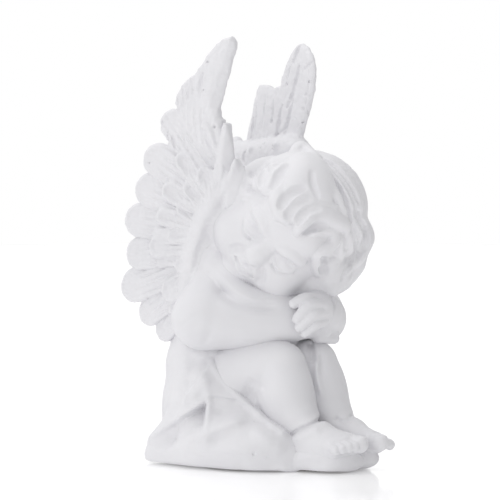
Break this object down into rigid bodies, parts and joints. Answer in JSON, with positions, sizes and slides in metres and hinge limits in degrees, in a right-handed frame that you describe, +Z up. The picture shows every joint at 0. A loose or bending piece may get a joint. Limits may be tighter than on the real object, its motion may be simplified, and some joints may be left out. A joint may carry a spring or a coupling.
{
  "type": "angel figurine",
  "caption": "Seated cherub figurine with folded arms, raised feathered wings and a cloth drape, on a small rock base with a felt pad.",
  "frame": {"origin": "on the underside of the felt pad, below the middle of the base", "axes": "+Z up, the figure faces -Y, its own right hand is on -X"},
  "size_m": [0.0448, 0.068, 0.1],
  "materials": {
    "resin": "matte unpainted white resin, fine cast texture with a few air pinholes",
    "felt": "dark brown self-adhesive felt"
  },
  "bodies": {
    "root": {"felt_pad": "felt", "base": "resin", "torso": "resin", "right_leg": "resin", "left_leg": "resin", "right_arm": "resin", "left_arm": "resin", "head": "resin", "drape": "resin", "right_wing": "resin", "left_wing": "resin"}
  },
  "joints": []
}
